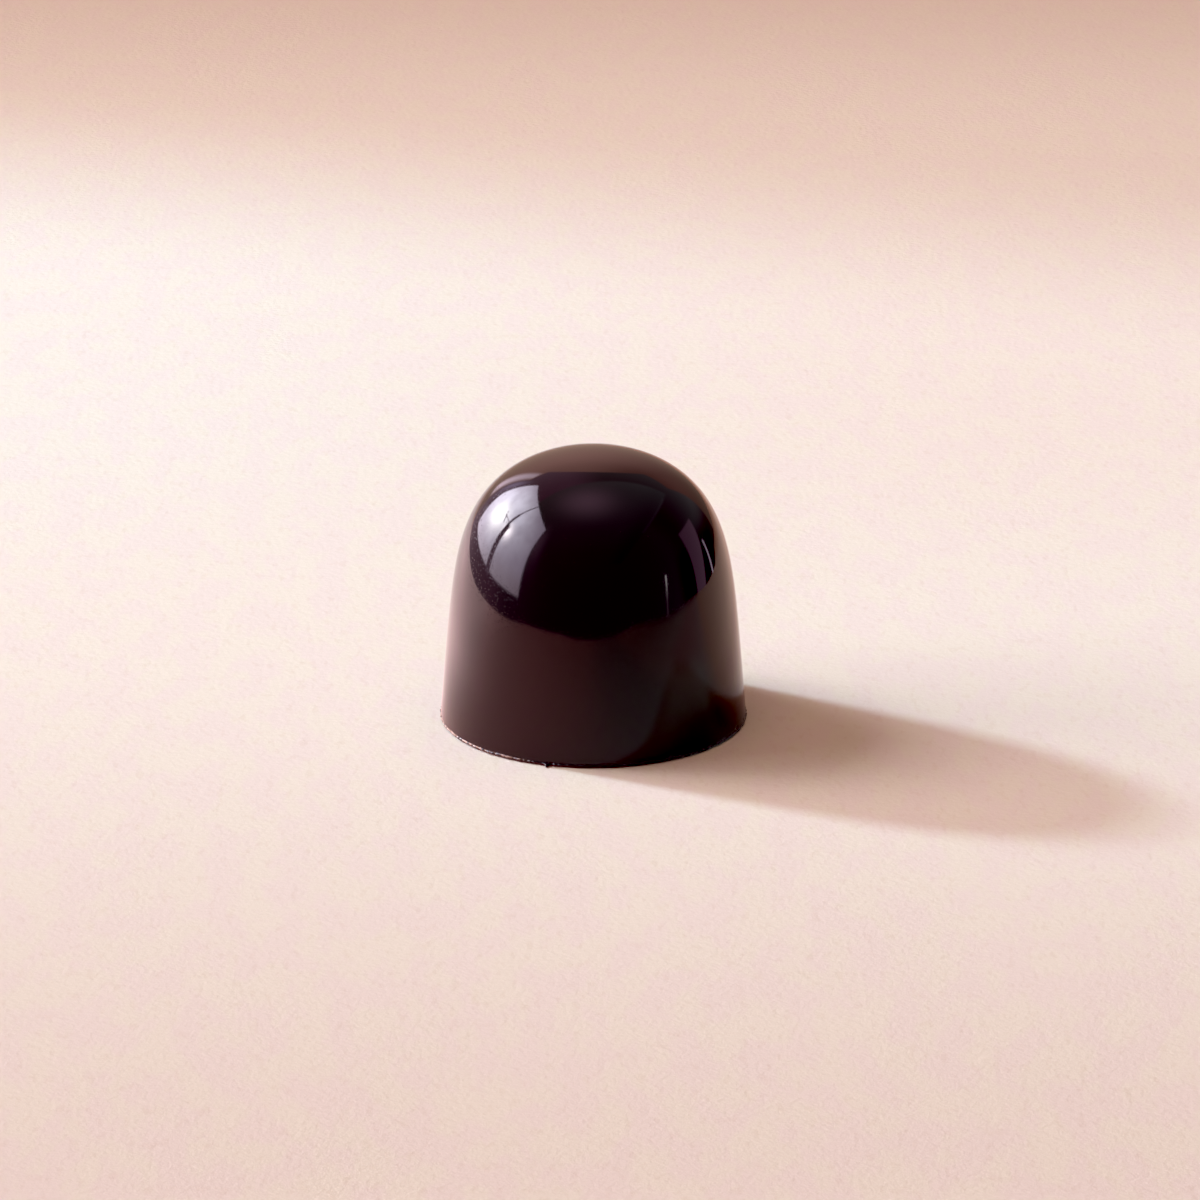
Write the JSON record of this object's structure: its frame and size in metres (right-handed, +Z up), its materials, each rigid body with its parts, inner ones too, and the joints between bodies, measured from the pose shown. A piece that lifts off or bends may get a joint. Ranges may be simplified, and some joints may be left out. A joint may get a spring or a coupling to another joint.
{
  "type": "chocolate praline",
  "caption": "Moulded dark chocolate praline: a tall, mirror-smooth dome on a slightly tapered round wall, standing on its flat scraped base.",
  "frame": {"origin": "centre of the flat base face that the praline stands on", "axes": "+Z up along the axis of the dome; the body is round, so +X and +Y are free, with -Y towards the viewer of the picture and +X to the right"},
  "size_m": [0.0281, 0.028, 0.0253],
  "materials": {
    "dark_chocolate": "mirror-glossy tempered dark chocolate, nearly black brown, with faint dust and fine marks; the scraped base is matt"
  },
  "bodies": {
    "root": {"praline": "dark_chocolate"}
  },
  "joints": []
}
